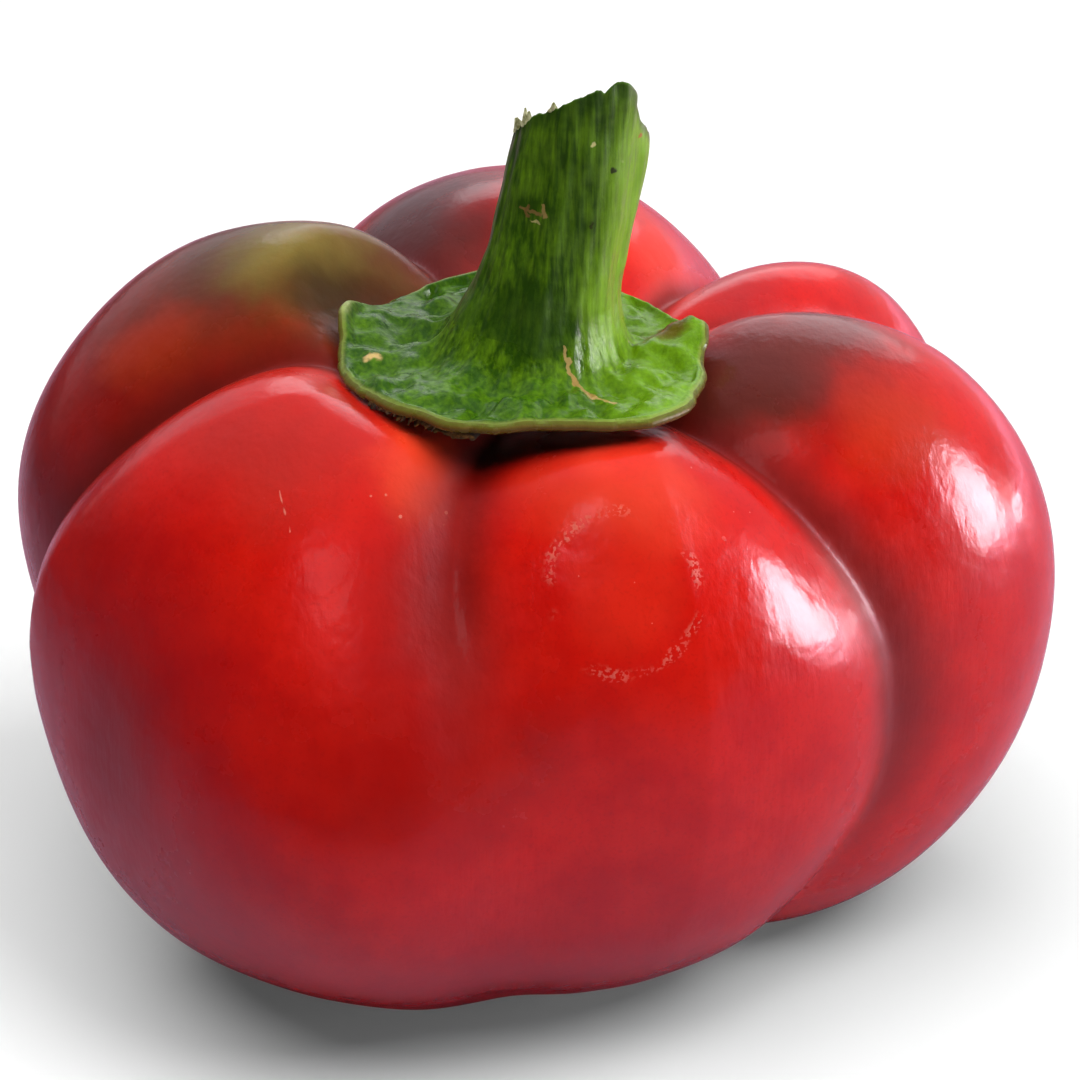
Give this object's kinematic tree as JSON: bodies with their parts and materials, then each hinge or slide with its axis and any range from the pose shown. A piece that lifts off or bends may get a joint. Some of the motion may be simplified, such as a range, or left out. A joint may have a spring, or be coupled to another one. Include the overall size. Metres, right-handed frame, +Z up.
{
  "type": "pimento pepper",
  "caption": "Squat ripe sweet pepper with swollen lobes round a sunken crown, a wavy green calyx and a snapped-off leaning stem, standing on its own feet.",
  "frame": {"origin": "on the table, under the middle of the whole pepper's bounding box", "axes": "+Z up along the stem from the table, +X to the right along the pepper's greatest width, -Y towards the front, where the two lobes with the shallow groove between them meet"},
  "size_m": [0.0886, 0.0774, 0.0786],
  "materials": {
    "pepper_skin": "gloss",
    "calyx_leaf": "satin",
    "stem_rind": "satin"
  },
  "bodies": {
    "root": {"fruit": "pepper_skin", "calyx": "calyx_leaf", "stem": "stem_rind"}
  },
  "joints": []
}
